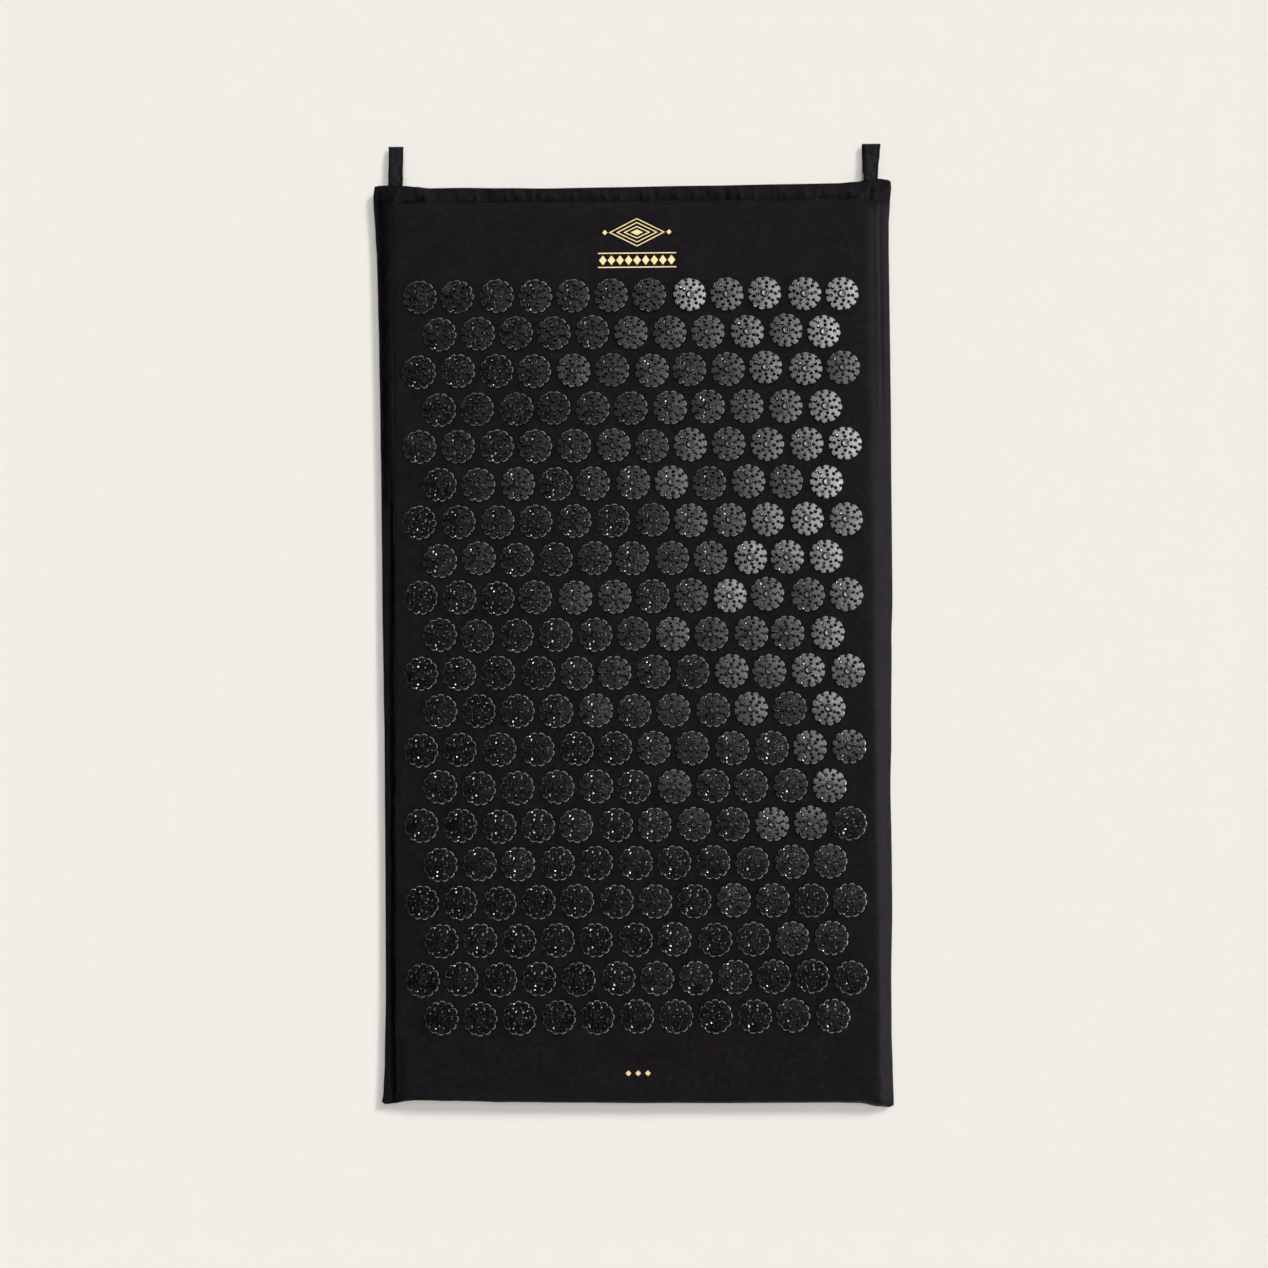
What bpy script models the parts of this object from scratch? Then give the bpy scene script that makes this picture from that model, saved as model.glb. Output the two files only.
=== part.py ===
"""Acupressure mat: a foam slab in a sewn cotton cover that carries rows of spiked plastic discs.

The mat lies flat on the floor. X runs across it, +Y along it towards the hanging loops and +Z up.
The origin is on the floor, under the middle of the whole outline, with the loops counted in.
Lengths are in metres.
"""

import math

import bmesh
import bpy
from mathutils import Matrix, Vector

# Cover, measured over its sewn corners
COVER_WIDTH = 0.418
COVER_LENGTH = 0.749
CLOTH_THICKNESS = 0.0008
SIDE_DRAW_IN = 0.0035
END_DRAW_IN = 0.0022
SEAM_EDGE_WIDTH = 0.0015
SIDE_SLOPE_WIDTH = 0.0095
FOOT_SLOPE_WIDTH = 0.0035
HEM_WIDTH = 0.011
HEM_SLOPE_WIDTH = 0.005

# Foam slab inside the cover
FOAM_THICKNESS = 0.018
FOAM_EDGE_ROUND = 0.002
FOAM_EDGE_CLEARANCE = 0.0006

# Gap left between two pieces that touch
FIT_GAP = 0.0003

# Discs: twelve spikes on the rim, six in an inner ring and a low middle
DISC_RADIUS = 0.0136
DISC_RIM_SPIKES = 12
DISC_CREST_RADIUS = 0.0078
DISC_CREST_HEIGHT = 0.0016
DISC_CENTRE_HEIGHT = 0.0012
SPIKE_RING_RADIUS = 0.0117
SPIKE_HEIGHT = 0.005
INNER_RING_RADIUS = 0.0053
INNER_SPIKE_HEIGHT = 0.0046

# Disc pattern: rows across the mat, every second row shifted by half a pitch
DISC_GAP = 0.0042
ROW_GAP = 0.0036
SIDE_MARGIN = 0.002
LOOP_END_MARGIN = 0.094
FOOT_END_MARGIN = 0.056

# Low bar that joins each disc of a row to the next one
LINK_HEIGHT = 0.001

# Hanging loops of folded tape, sewn into the seam near two corners
TAPE_WIDTH = 0.0105
TAPE_THICKNESS = 0.0009
LOOP_REACH = 0.033
LOOP_INSET = 0.0145
LOOP_INNER_GAP = 0.0065
LOOP_ROOT_RADIUS = 0.0009
LOOP_FLOOR_CLEARANCE = 0.0004

# Mesh counts
SLOPE_STEPS = 3
HEM_STEPS = 2
INNER_COLUMNS = 3
INNER_ROWS = 8
FOAM_ROUND_SEGMENTS = 2
LOOP_SIDE_STEPS = 5
LOOP_END_STEPS = 6
LOOP_ROOT_STEPS = 4

# Share of the loop's length over which it opens and sinks to the floor
LOOP_OPEN_SHARE = 0.6

# How fast the drawn-in edges leave the corners
DRAW_IN_POWER = 4

# Levels, from the floor up
FOAM_BOTTOM = CLOTH_THICKNESS + FIT_GAP
FOAM_TOP = FOAM_BOTTOM + FOAM_THICKNESS
COVER_TOP = FOAM_TOP + FIT_GAP + CLOTH_THICKNESS
SEAM_HEIGHT = COVER_TOP / 2
DISC_SEAT = COVER_TOP + FIT_GAP

# Places along the mat, with the loops' reach kept inside the outline
LOOP_END_Y = (COVER_LENGTH - LOOP_REACH) / 2
FOOT_END_Y = LOOP_END_Y - COVER_LENGTH

# Band between the seam and the flat top, along the sides and at the two ends
SIDE_BAND = SEAM_EDGE_WIDTH + SIDE_SLOPE_WIDTH
FOOT_BAND = SEAM_EDGE_WIDTH + FOOT_SLOPE_WIDTH
HEM_BAND = HEM_WIDTH + HEM_SLOPE_WIDTH

# Flat part of the cover's top
FLAT_WIDTH = COVER_WIDTH - 2 * (SIDE_DRAW_IN + SIDE_BAND)
FLAT_LOOP_END = LOOP_END_Y - END_DRAW_IN - HEM_BAND
FLAT_FOOT_END = FOOT_END_Y + END_DRAW_IN + FOOT_BAND

# Loops: the tape's outline at full opening, and the lines that the loops turn about
LOOP_HALF_DEPTH = LOOP_INNER_GAP / 2 + TAPE_THICKNESS
LOOP_DROOP = SEAM_HEIGHT - LOOP_HALF_DEPTH - LOOP_FLOOR_CLEARANCE
LOOP_X = COVER_WIDTH / 2 - LOOP_INSET

# Disc grid worked out from the flat top
DISC_PITCH = 2 * DISC_RADIUS + DISC_GAP
ROW_SPACING = 2 * DISC_RADIUS + ROW_GAP
FIRST_ROW_Y = LOOP_END_Y - LOOP_END_MARGIN
LONG_ROW_COUNT = int((FLAT_WIDTH - 2 * (SIDE_MARGIN + DISC_RADIUS)) / DISC_PITCH) + 1
ROW_COUNT = int((COVER_LENGTH - LOOP_END_MARGIN - FOOT_END_MARGIN) / ROW_SPACING) + 1


def clear_scene():
    """Remove everything that the file starts with."""
    for item in list(bpy.data.objects):
        bpy.data.objects.remove(item, do_unlink=True)


def make_material(name, colour, roughness, metallic=0.0):
    """Return a plain Principled material."""
    material = bpy.data.materials.new(name)
    material.use_nodes = True
    shader = material.node_tree.nodes["Principled BSDF"]
    shader.inputs["Base Color"].default_value = (*colour, 1.0)
    shader.inputs["Roughness"].default_value = roughness
    shader.inputs["Metallic"].default_value = metallic
    return material


def add_object(name, mesh, material, collection, location=(0.0, 0.0, 0.0)):
    """Put a mesh in the collection as a named object with one material."""
    if not mesh.materials:
        mesh.materials.append(material)
    item = bpy.data.objects.new(name, mesh)
    item.location = location
    collection.objects.link(item)
    return item


def mesh_from(bm, name):
    """Turn a bmesh into a mesh and free it."""
    mesh = bpy.data.meshes.new(name)
    bm.to_mesh(mesh)
    bm.free()
    return mesh


def thicken(item, thickness, offset):
    """Give an open surface its thickness."""
    modifier = item.modifiers.new("thickness", "SOLIDIFY")
    modifier.thickness = thickness
    modifier.offset = offset
    modifier.use_even_offset = True


# Cover


def rounded_rise(share):
    """Height share of cloth that is pulled tight over the foam, at a share of the way to its flat."""
    return math.sin(share * math.pi / 2)


def slack_rise(share):
    """Height share of cloth that lies slack beside the foam and climbs steeply at its edge."""
    return 1.0 - math.cos(share * math.pi / 2)


def band_lines(edge_width, slope_width, edge_steps, rise_at):
    """Distance from the seam and height share of each grid line in one border band."""
    lines = []
    for step in range(edge_steps):
        lines.append((edge_width * step / edge_steps, 0.0))
    for step in range(SLOPE_STEPS + 1):
        share = step / SLOPE_STEPS
        lines.append((edge_width + slope_width * share, rise_at(share)))
    return lines


def grid_stations(low, high, low_band, high_band, inner_steps):
    """Place and height share of every grid line between two edges."""
    stations = [(low + distance, height) for distance, height in low_band]
    start = stations[-1][0]
    end = high - high_band[-1][0]
    for step in range(1, inner_steps):
        stations.append((start + (end - start) * step / inner_steps, 1.0))
    stations += [(high - distance, height) for distance, height in reversed(high_band)]
    return stations


def drawn_in(depth, share):
    """How far an edge is pulled in, at a share of the way from its middle to its corner."""
    return depth * (1.0 - abs(share) ** DRAW_IN_POWER)


def cover_surface(rise):
    """Return the outer surface of one cover panel, which leaves the seam by rise at its flat."""
    side_band = band_lines(SEAM_EDGE_WIDTH, SIDE_SLOPE_WIDTH, 1, slack_rise)
    foot_band = band_lines(SEAM_EDGE_WIDTH, FOOT_SLOPE_WIDTH, 1, rounded_rise)
    hem_band = band_lines(HEM_WIDTH, HEM_SLOPE_WIDTH, HEM_STEPS, slack_rise)
    half_width = COVER_WIDTH / 2
    middle_y = (LOOP_END_Y + FOOT_END_Y) / 2
    columns = grid_stations(-half_width, half_width, side_band, side_band, INNER_COLUMNS)
    rows = grid_stations(FOOT_END_Y, LOOP_END_Y, foot_band, hem_band, INNER_ROWS)
    ply = math.copysign(CLOTH_THICKNESS + FIT_GAP / 2, rise)
    flat_rise = rise - ply
    bm = bmesh.new()
    bmesh.ops.create_grid(bm, x_segments=len(columns) - 1, y_segments=len(rows) - 1, size=1)
    for vert in bm.verts:
        x, side_height = columns[round((vert.co.x + 1) / 2 * (len(columns) - 1))]
        y, end_height = rows[round((vert.co.y + 1) / 2 * (len(rows) - 1))]
        across = x / half_width
        along = (y - middle_y) / (COVER_LENGTH / 2)
        vert.co.x = x - drawn_in(SIDE_DRAW_IN, along) * across
        vert.co.y = y - drawn_in(END_DRAW_IN, across) * along
        vert.co.z = ply + flat_rise * side_height * end_height
    if rise < 0:
        bmesh.ops.reverse_faces(bm, faces=bm.faces)
    return bm


def build_cover(collection):
    """Top and back panel, which meet face to face along the seam at half height."""
    cotton = make_material("black_cotton", (0.018, 0.017, 0.020), 0.9)
    panels = (("cover_top_panel", COVER_TOP - SEAM_HEIGHT), ("cover_back_panel", -SEAM_HEIGHT))
    for name, rise in panels:
        mesh = mesh_from(cover_surface(rise), name)
        panel = add_object(name, mesh, cotton, collection, (0.0, 0.0, SEAM_HEIGHT))
        thicken(panel, CLOTH_THICKNESS, -1.0)


# Foam


def build_foam(collection):
    """One slab with softened edges, which fills the flat part of the cover."""
    width = FLAT_WIDTH - 2 * FOAM_EDGE_CLEARANCE
    length = FLAT_LOOP_END - FLAT_FOOT_END - 2 * FOAM_EDGE_CLEARANCE
    centre_y = (FLAT_LOOP_END + FLAT_FOOT_END) / 2
    bm = bmesh.new()
    bmesh.ops.create_cube(bm, size=1)
    bmesh.ops.scale(bm, vec=Vector((width, length, FOAM_THICKNESS)), verts=bm.verts)
    foam_cell = make_material("pale_foam", (0.62, 0.60, 0.55), 0.95)
    mesh = mesh_from(bm, "foam_pad")
    place = (0.0, centre_y, (FOAM_BOTTOM + FOAM_TOP) / 2)
    slab = add_object("foam_pad", mesh, foam_cell, collection, place)
    rounding = slab.modifiers.new("softened_edges", "BEVEL")
    rounding.width = FOAM_EDGE_ROUND
    rounding.segments = FOAM_ROUND_SEGMENTS


# Discs


def spike_angle(index):
    """Angle of one rim spike, the first one straight towards +X."""
    return index * math.tau / DISC_RIM_SPIKES


def place_at(vert, radius, angle, height):
    """Move a vertex to a place given round the disc."""
    vert.co = Vector((radius * math.cos(angle), radius * math.sin(angle), height))


def disc_mesh():
    """One disc: a low plate whose rim and inner ring are drawn up into spikes."""
    half_step = math.pi / DISC_RIM_SPIKES
    bm = bmesh.new()
    bmesh.ops.create_cone(bm, cap_ends=True, segments=DISC_RIM_SPIKES, radius1=DISC_RADIUS,
                          radius2=DISC_CREST_RADIUS, depth=DISC_CREST_HEIGHT,
                          matrix=Matrix.Translation((0.0, 0.0, DISC_CREST_HEIGHT / 2)))
    middle_height = DISC_CREST_HEIGHT / 2
    rim = sorted((v for v in bm.verts if v.co.z < middle_height), key=angle_of)
    crest = sorted((v for v in bm.verts if v.co.z > middle_height), key=angle_of)
    for index, vert in enumerate(rim):
        place_at(vert, DISC_RADIUS, spike_angle(index) + half_step, 0.0)
    for index, vert in enumerate(crest):
        place_at(vert, DISC_CREST_RADIUS, spike_angle(index) + half_step, DISC_CREST_HEIGHT)
    # Two neighbouring crest points become one, so the valleys between spikes meet in pairs
    for index in range(1, DISC_RIM_SPIKES, 2):
        pair = [crest[index], crest[(index + 1) % DISC_RIM_SPIKES]]
        place_at(pair[0], DISC_CREST_RADIUS, spike_angle(index + 1), DISC_CREST_HEIGHT)
        bmesh.ops.pointmerge(bm, verts=pair, merge_co=pair[0].co)
    upper = [f for f in bm.faces if any(v.co.z > middle_height for v in f.verts)]
    poked = bmesh.ops.poke(bm, faces=upper)
    centre = min(poked["verts"], key=lambda v: v.co.xy.length)
    for tip in poked["verts"]:
        index = round(angle_of(tip) * DISC_RIM_SPIKES / math.tau)
        place_at(tip, SPIKE_RING_RADIUS, spike_angle(index), SPIKE_HEIGHT)
    centre.co = Vector((0.0, 0.0, DISC_CENTRE_HEIGHT))
    for tip in bmesh.ops.poke(bm, faces=list(centre.link_faces))["verts"]:
        place_at(tip, INNER_RING_RADIUS, angle_of(tip), INNER_SPIKE_HEIGHT)
    return bm


def angle_of(vert):
    """Angle of a vertex round the disc, from zero up to a full turn."""
    return math.atan2(vert.co.y, vert.co.x) % math.tau


def outer_faces(bm, centre_x):
    """The two faces under the end spikes of the disc at centre_x, at its low and its high side."""
    reach = DISC_RADIUS * math.cos(math.pi / DISC_RIM_SPIKES)
    found = []
    for side in (-1, 1):
        place = Vector((centre_x + side * reach, 0.0, 0.0))
        near = min((f for f in bm.faces if len(f.verts) == 3 and abs(f.normal.z) < 0.9),
                   key=lambda f: (f.calc_center_median() - place).length)
        found.append(near)
    return found


def start_link(bm, face):
    """Split one outer face so that a low triangle at its foot can carry a link."""
    foot = [v for v in face.verts if v.co.z < LINK_HEIGHT / 2]
    top = [v for v in face.verts if v not in foot][0]
    middle = (foot[0].co + foot[1].co) / 2
    poked = bmesh.ops.poke(bm, faces=[face])
    peak = poked["verts"][0]
    peak.co = middle.lerp(top.co, LINK_HEIGHT / SPIKE_HEIGHT)
    return [f for f in poked["faces"] if top not in f.verts][0]


def row_mesh(count):
    """A row of discs on one line, each joined to the next by a low three-sided bar."""
    single = mesh_from(disc_mesh(), "single_disc")
    bm = bmesh.new()
    centres = [(place - (count - 1) / 2) * DISC_PITCH for place in range(count)]
    for centre in centres:
        before = set(bm.verts)
        bm.from_mesh(single)
        added = [v for v in bm.verts if v not in before]
        bmesh.ops.translate(bm, vec=Vector((centre, 0.0, 0.0)), verts=added)
    bm.normal_update()
    bpy.data.meshes.remove(single)
    for left, right in zip(centres, centres[1:]):
        high_side = start_link(bm, outer_faces(bm, left)[1])
        low_side = start_link(bm, outer_faces(bm, right)[0])
        rims = list(high_side.edges) + list(low_side.edges)
        bmesh.ops.delete(bm, geom=[high_side, low_side], context="FACES_ONLY")
        bmesh.ops.bridge_loops(bm, edges=rims)
        bm.normal_update()
    bmesh.ops.recalc_face_normals(bm, faces=bm.faces)
    return mesh_from(bm, "row_of_" + str(count))


def build_disc_rows(collection):
    """Rows of discs on the cover's flat top, long and short rows in turn."""
    plastic = make_material("black_gloss_plastic", (0.012, 0.012, 0.013), 0.32)
    meshes = [row_mesh(LONG_ROW_COUNT), row_mesh(LONG_ROW_COUNT - 1)]
    for row in range(ROW_COUNT):
        place = (0.0, FIRST_ROW_Y - row * ROW_SPACING, DISC_SEAT)
        add_object("disc_row_%02d" % (row + 1), meshes[row % 2], plastic, collection, place)


# Hanging loops


def loop_axis_y():
    """The line on which the loops turn: just clear of the seam at the loop's outer edge."""
    outer_share = (LOOP_X + TAPE_WIDTH / 2) / (COVER_WIDTH / 2)
    seam_y = LOOP_END_Y - drawn_in(END_DRAW_IN, outer_share)
    root_corner = (LOOP_ROOT_RADIUS + TAPE_THICKNESS / 2) / math.cos(math.pi / (2 * LOOP_ROOT_STEPS))
    return seam_y + FIT_GAP + root_corner


def eased(share):
    """A share that starts and ends gently and stays at one past its end."""
    return (1 - math.cos(min(share, 1.0) * math.pi)) / 2


def loop_path():
    """Middle line of the tape, once round the loop, as places along it and above it."""
    radius = (LOOP_INNER_GAP + TAPE_THICKNESS) / 2
    length = LOOP_END_Y + LOOP_REACH - TAPE_THICKNESS / 2 - loop_axis_y()
    opening = length * LOOP_OPEN_SHARE
    upper = []
    for step in range(1, LOOP_ROOT_STEPS // 2 + 1):
        turn = math.pi * (1 - step / LOOP_ROOT_STEPS)
        upper.append((LOOP_ROOT_RADIUS * math.cos(turn), LOOP_ROOT_RADIUS * math.sin(turn)))
    for step in range(1, LOOP_SIDE_STEPS + 1):
        share = step / LOOP_SIDE_STEPS
        height = LOOP_ROOT_RADIUS + (radius - LOOP_ROOT_RADIUS) * eased(share)
        upper.append((opening * share, height))
    for step in range(LOOP_END_STEPS // 2):
        turn = step * math.pi / LOOP_END_STEPS
        upper.append((length - radius + radius * math.sin(turn), radius * math.cos(turn)))
    lower = [(along, -height) for along, height in reversed(upper)]
    path = [(-LOOP_ROOT_RADIUS, 0.0)] + upper + [(length, 0.0)] + lower
    return [(along, height - LOOP_DROOP * eased(max(along, 0.0) / opening)) for along, height in path]


def loop_surface():
    """A band as wide as the tape, which follows the loop's middle line."""
    bm = bmesh.new()
    verts = [bm.verts.new((-TAPE_WIDTH / 2, along, height)) for along, height in loop_path()]
    edges = [bm.edges.new((verts[i - 1], verts[i])) for i in range(len(verts))]
    swept = bmesh.ops.extrude_edge_only(bm, edges=edges)["geom"]
    moved = [item for item in swept if isinstance(item, bmesh.types.BMVert)]
    bmesh.ops.translate(bm, vec=Vector((TAPE_WIDTH, 0.0, 0.0)), verts=moved)
    bmesh.ops.recalc_face_normals(bm, faces=bm.faces)
    return bm


def build_loops(collection):
    """Two loops, each with its origin on the line where it turns at the seam."""
    tape = make_material("black_cotton_tape", (0.030, 0.028, 0.033), 0.85)
    mesh = mesh_from(loop_surface(), "hanging_loop")
    for name, side in (("hanging_loop_left", -1), ("hanging_loop_right", 1)):
        place = (side * LOOP_X, loop_axis_y(), SEAM_HEIGHT)
        item = add_object(name, mesh, tape, collection, place)
        thicken(item, TAPE_THICKNESS, 0.0)


def main():
    clear_scene()
    collection = bpy.data.collections.new("acupressure_mat")
    bpy.context.scene.collection.children.link(collection)
    build_cover(collection)
    build_foam(collection)
    build_disc_rows(collection)
    build_loops(collection)


main()
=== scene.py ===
"""Looks of an acupressure mat: cotton cover, foam slab, spiked plastic discs, print and tape loops.

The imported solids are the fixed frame. Every piece made here sits in that frame, in metres, rides on
one of its bodies and stands for the solids that it replaces. X runs across the mat, +Y towards the
hanging loops and +Z up.
"""

import math
import random

import bpy
import numpy as np
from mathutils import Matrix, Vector, noise


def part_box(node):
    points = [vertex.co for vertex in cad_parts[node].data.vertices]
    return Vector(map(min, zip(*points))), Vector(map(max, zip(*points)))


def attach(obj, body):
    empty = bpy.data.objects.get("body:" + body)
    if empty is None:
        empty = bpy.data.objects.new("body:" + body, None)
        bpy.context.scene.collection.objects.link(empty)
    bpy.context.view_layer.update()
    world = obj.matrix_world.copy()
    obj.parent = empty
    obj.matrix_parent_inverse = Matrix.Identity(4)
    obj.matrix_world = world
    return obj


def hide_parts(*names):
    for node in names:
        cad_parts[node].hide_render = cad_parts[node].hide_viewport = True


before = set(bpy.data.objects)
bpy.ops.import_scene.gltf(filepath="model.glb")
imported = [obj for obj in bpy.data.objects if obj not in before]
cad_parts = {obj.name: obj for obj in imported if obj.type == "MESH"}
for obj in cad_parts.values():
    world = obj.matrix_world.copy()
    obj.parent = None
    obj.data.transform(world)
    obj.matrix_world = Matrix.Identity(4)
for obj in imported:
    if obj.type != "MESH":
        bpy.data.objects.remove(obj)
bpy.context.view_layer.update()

# Levels and places read from the solids. The cloth on the foam lies a little below the solids' top.
COVER_LOW, COVER_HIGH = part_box("cover_top_panel")
BACK_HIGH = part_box("cover_back_panel")[1]
FOAM_SHIFT = Vector((0.0006, 0, 0))
FOAM_LOW, FOAM_HIGH = [corner + FOAM_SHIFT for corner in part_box("foam_pad")]
CLOTH_LEVEL = COVER_HIGH.z - 0.0002
SEAM_HEIGHT = (COVER_LOW.z + BACK_HIGH.z) / 2
DISC_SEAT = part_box("disc_row_01")[0].z
ROW_COUNT = 20

# Flat part of the cover, over the foam
FOAM_CLEARANCE = 0.0006
FOAM_ROUND = 0.010
FLAT_LEFT = FOAM_LOW.x - FOAM_CLEARANCE
FLAT_RIGHT = FOAM_HIGH.x + FOAM_CLEARANCE
FLAT_FOOT = FOAM_LOW.y - FOAM_CLEARANCE
FLAT_LOOP = FOAM_HIGH.y + FOAM_CLEARANCE

# Seam line of the cover as places along each side, with the corners pulled out
LEFT_EDGE = ((-0.395, -0.2052), (-0.39, -0.2068), (-0.381, -0.2052), (-0.355, -0.2041),
             (-0.3, -0.2031), (-0.23, -0.2032), (-0.14, -0.2034), (-0.095, -0.2035),
             (-0.06, -0.2041), (0.02, -0.205), (0.1, -0.2055), (0.165, -0.2062),
             (0.23, -0.207), (0.26, -0.2077), (0.3, -0.2086), (0.318, -0.2097),
             (0.348, -0.2113), (0.359, -0.2102))
RIGHT_EDGE = ((-0.395, 0.205), (-0.39, 0.2064), (-0.366, 0.206), (-0.339, 0.2055),
              (-0.306, 0.2058), (-0.225, 0.2076), (-0.184, 0.2077), (-0.143, 0.2074),
              (-0.094, 0.2088), (-0.021, 0.2101), (0.02, 0.2114), (0.101, 0.2117),
              (0.183, 0.2121), (0.297, 0.2122), (0.322, 0.2125), (0.34, 0.2137),
              (0.353, 0.2149), (0.359, 0.2141))
LOOP_EDGE = ((-0.2113, 0.3582), (-0.206, 0.3592), (-0.198, 0.3593), (-0.186, 0.3588),
             (-0.176, 0.3579), (-0.164, 0.3566), (-0.14, 0.3568), (-0.107, 0.356),
             (-0.066, 0.3552), (-0.025, 0.3556), (0.058, 0.3563), (0.13, 0.3569),
             (0.17, 0.3574), (0.187, 0.3585), (0.195, 0.36), (0.205, 0.3608),
             (0.211, 0.36), (0.2149, 0.3586))
FOOT_EDGE = ((-0.2068, -0.3888), (-0.2035, -0.3905), (-0.196, -0.3897), (-0.186, -0.3881),
             (-0.178, -0.3876), (-0.15, -0.3885), (-0.107, -0.39), (-0.05, -0.391),
             (0.015, -0.3917), (0.075, -0.3923), (0.155, -0.3925), (0.178, -0.3929),
             (0.195, -0.3958), (0.203, -0.3964), (0.2064, -0.395))

# The seam's rough place at both ends, where the places along the sides are read
ROUGH_FOOT = -0.3885
ROUGH_LOOP = 0.3568

# Cross-section of the cover beside the foam: the seam, the walls up to the foam and down to the floor,
# and the hem's height at places out from the foam. PLY is half the thickness of the seam.
PLY = 0.0009
PLY_SHARE = 0.12
SIDE_SEAM = 0.0058
LEFT_SEAM_LIFT = 0.0032
LEFT_WALL = 0.0014
RIGHT_SEAM_LIFT = 0.0030
FOOT_WALL = 0.0050
BACK_WALL = 0.0075
HEM_PLACES = (0.0, 0.0018, 0.0038, 0.0060, 0.0092, 0.0130, 0.0172)
HEM_SHARES = (1.0, 0.93, 0.80, 0.76, 0.56, 0.24, 0.0)
HEM_LINE = 0.0046

# Grid of the cover
BAND_STEPS = 14
HEM_STEPS = 15
FOOT_STEPS = 6
COLUMN_WIDTH = 0.00148
ROW_LENGTH = 0.0040

# Discs. SPIKE_RINGS has each ring's count, distance from the middle, turn as a share of a step, and
# width. SPIKE_STEPS has rises and width factors, and RING_STEPS width factors and rises.
DISC_PITCH = 0.0314
DISC_RADIUS = 0.0145
NOTCH_RADIUS = 0.0128
PETAL_COUNT = 12
FLANK_RADIUS = 0.0140
PLATE_EDGE = 0.0010
SKIRT_SHARE = 0.960
RIM_RISE = 0.00040
DOME_RISE = 0.00012
SPIKE_LENGTH = 0.0037
SPIKE_RINGS = ((12, 0.0119, 0.0, 1.0), (9, 0.0089, 0.3, 1.16), (6, 0.0057, 0.1, 1.16))
SPIKE_SIDES = 6
SPIKE_RADIUS = 0.00154
SPIKE_STEPS = ((0.0010, 0.80), (0.0014, 0.68), (0.0013, 0.64))
SPIKE_SLANT = 18
RING_RADIUS = 0.0038
RING_STEPS = ((0.70, 0.00150), (0.90, 0.00002), (0.80, -0.00060), (0.45, -0.00006))
TILT_SPREAD = 0.019

# Cloth simulation of the border
CLOTH_FRAMES = 18
CLOTH_SLACK = 0.035
CLOTH_LIMIT = 0.0013

# Print: the middles of the two figures, and the head figure's parts above and below its middle
HEAD_PRINT = (0.0055, 0.3055)
FOOT_PRINT = (0.0005, -0.3660)
DIAMOND_RISE = 0.0105
BAND_DROP = 0.0125
PRINT_LIFT = 0.00022

# Hanging loops
LOOP_CENTRES = (-0.1930, 0.1980)
TAPE_WIDTH = 0.0117
TAPE_THICKNESS = 0.0009
LOOP_GAP = 0.0064
LOOP_OPEN_SHARE = 0.6
LOWER_PLY = -0.004

# Sewing thread
STITCH_PITCH = 0.0032
STITCH_LENGTH = 0.0025

# Surfaces
WEAVE_PITCH = 0.00052
FLOOR_COLOUR = (0.871, 0.847, 0.791)

random_discs = random.Random(11)


# Small tools


def deselect():
    """Leave edit mode, with nothing selected."""
    if bpy.context.mode != "OBJECT":
        leave_edit()
    bpy.ops.object.select_all(action="DESELECT")


def pick(*items):
    """Select these objects, the first one active."""
    deselect()
    for item in items:
        item.select_set(True)
    bpy.context.view_layer.objects.active = items[0]


def named(name):
    """Name the object that was just added."""
    item = bpy.context.active_object
    item.name = name
    item.data.name = name
    return item


def settle(item):
    """Put the object's place, turn and size into its mesh."""
    pick(item)
    bpy.ops.object.transform_apply(location=True, rotation=True, scale=True)
    return item


def join(items, name):
    """Join the objects into one piece."""
    pick(*items)
    if len(items) > 1:
        bpy.ops.object.join()
    return named(name)


def copy_of(item, name):
    """A copy with its own mesh."""
    twin = item.copy()
    twin.data = item.data.copy()
    twin.name = name
    bpy.context.collection.objects.link(twin)
    return twin


def apply(item, *names):
    """Put the modifiers' work into the piece's mesh."""
    pick(item)
    for name in names:
        bpy.ops.object.modifier_apply(modifier=name)


def smooth(item, degrees):
    """Shade the piece smooth, with edges past the angle left sharp."""
    pick(item)
    bpy.ops.object.shade_smooth_by_angle(angle=math.radians(degrees))
    return item


def enter_edit():
    """Into edit mode."""
    bpy.ops.object.mode_set(mode="EDIT")


def leave_edit():
    """Back to object mode."""
    bpy.ops.object.mode_set(mode="OBJECT")


def edit_all():
    """Into edit mode with the whole mesh selected."""
    enter_edit()
    bpy.ops.mesh.select_all(action="SELECT")


def choose(item, kind, wanted):
    """Into edit mode with only the vertices or polygons selected that wanted(one) accepts."""
    enter_edit()
    bpy.ops.mesh.select_mode(type="VERT" if kind == "vertices" else "FACE")
    bpy.ops.mesh.select_all(action="DESELECT")
    leave_edit()
    for one in getattr(item.data, kind):
        one.select = bool(wanted(one))
    enter_edit()


def widen(factor):
    """In edit mode, scale the selection about the upright axis."""
    bpy.ops.transform.resize(value=(factor, factor, 1), center_override=(0, 0, 0))


def step_in(factor, rise):
    """In edit mode, inset the selected faces to a share of their size and lift them."""
    bpy.ops.mesh.inset(thickness=0.00002, depth=0)
    widen(factor)
    bpy.ops.transform.translate(value=(0, 0, rise))


def get_places(item):
    """The mesh's vertices as an array."""
    places = np.zeros(len(item.data.vertices) * 3)
    item.data.vertices.foreach_get("co", places)
    return places.reshape(-1, 3)


def set_places(item, places):
    """Move the mesh's vertices to the rows of an array."""
    item.data.vertices.foreach_set("co", np.ascontiguousarray(places, dtype=np.float32).reshape(-1))
    item.data.update()


def write_coordinates(item, layer, flat):
    """Fill a layer of surface coordinates from one pair for each vertex."""
    corners = np.zeros(len(item.data.loops), dtype=np.int32)
    item.data.loops.foreach_get("vertex_index", corners)
    layer.data.foreach_set("uv", flat[corners].astype(np.float32).reshape(-1))


def smoothstep(share):
    """Gentle step from 0 to 1."""
    share = min(max(share, 0.0), 1.0)
    return share * share * (3.0 - 2.0 * share)


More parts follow.
